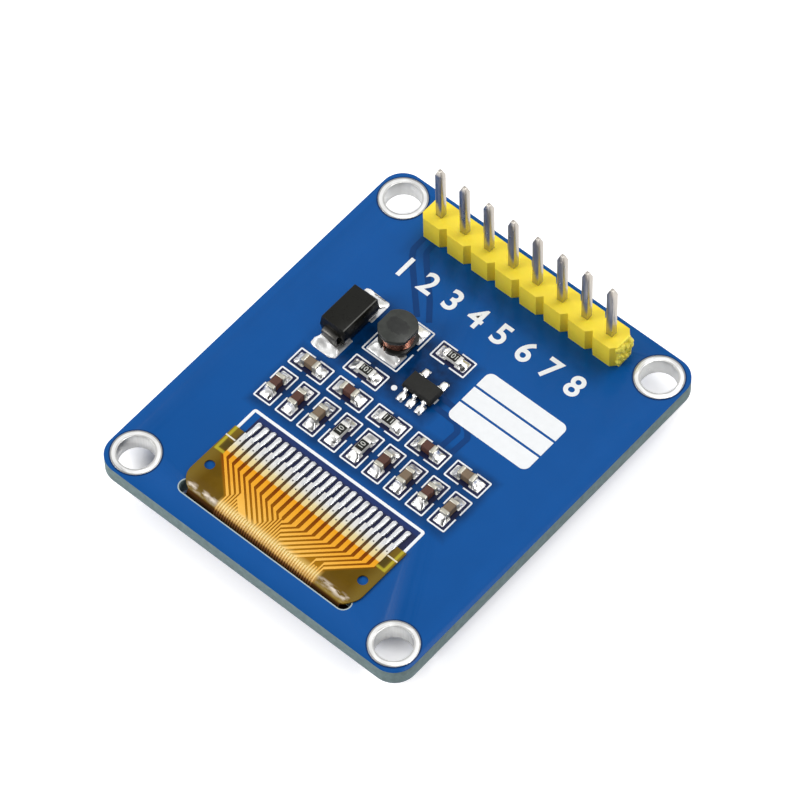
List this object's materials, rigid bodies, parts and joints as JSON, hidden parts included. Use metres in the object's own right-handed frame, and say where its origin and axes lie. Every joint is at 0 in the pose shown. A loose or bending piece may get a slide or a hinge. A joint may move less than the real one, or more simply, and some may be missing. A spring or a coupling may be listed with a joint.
{
  "type": "small OLED display module",
  "caption": "Small blue display module: board with pin header, converter parts and chip parts on one face, glass display panel on the other, joined by a folded flex cable.",
  "frame": {"origin": "centre of the four mounting holes, on the board's component face", "axes": "+X along the pin header from pin 1, +Y from the board's middle towards the header, +Z out of the component face; the display faces -Z"},
  "size_m": [0.0318, 0.0368, 0.0118],
  "materials": {
    "solder_mask": "glossy blue solder mask on glass-epoxy laminate",
    "tin": "bright tin and solder",
    "ink": "white printed ink",
    "header_plastic": "semi-gloss yellow moulding",
    "pin_metal": "bright plated",
    "capacitor_ceramic": "brown fired ceramic",
    "capacitor_ceramic_pale": "tan fired ceramic",
    "alumina": "white alumina",
    "resistor_glaze": "black glaze",
    "moulding_black": "black moulding compound",
    "ferrite": "grey sintered ferrite",
    "enamelled_copper": "glossy enamelled copper wire",
    "polyimide": "glossy amber film",
    "flex_copper": "copper traces under amber film",
    "panel_glass": "clear glass",
    "polariser": "dark glossy film",
    "silicon": "polished silicon",
    "foam": "white foam tape"
  },
  "bodies": {
    "root": {"circuit_board": "solder_mask", "mounting_hole_plating": "tin", "solder_pads": "tin", "silkscreen": "ink", "header_housing": "header_plastic", "header_pin_1": "pin_metal", "header_pin_2": "pin_metal", "header_pin_3": "pin_metal", "header_pin_4": "pin_metal", "header_pin_5": "pin_metal", "header_pin_6": "pin_metal", "header_pin_7": "pin_metal", "header_pin_8": "pin_metal", "header_solder": "tin", "capacitor_1": "capacitor_ceramic_pale", "capacitor_2": "capacitor_ceramic", "capacitor_3": "capacitor_ceramic", "capacitor_4": "capacitor_ceramic_pale", "capacitor_5": "capacitor_ceramic", "capacitor_6": "capacitor_ceramic", "capacitor_7": "capacitor_ceramic_pale", "capacitor_8": "capacitor_ceramic", "capacitor_9": "capacitor_ceramic_pale", "capacitor_10": "capacitor_ceramic", "capacitor_11": "capacitor_ceramic_pale", "capacitor_terminals": "tin", "resistor_1": "alumina", "resistor_2": "alumina", "resistor_3": "alumina", "resistor_4": "alumina", "resistor_5": "alumina", "resistor_glaze": "resistor_glaze", "resistor_terminals": "tin", "chip_solder": "tin", "converter_body": "moulding_black", "converter_leads": "tin", "diode_body": "moulding_black", "diode_leads": "tin", "inductor_core": "ferrite", "inductor_winding": "enamelled_copper", "inductor_terminals": "tin", "flex_film": "polyimide", "flex_traces": "flex_copper", "display_glass": "panel_glass", "display_cover_glass": "panel_glass", "display_polariser": "polariser", "driver_chip": "silicon", "foam_tape": "foam"}
  },
  "joints": []
}
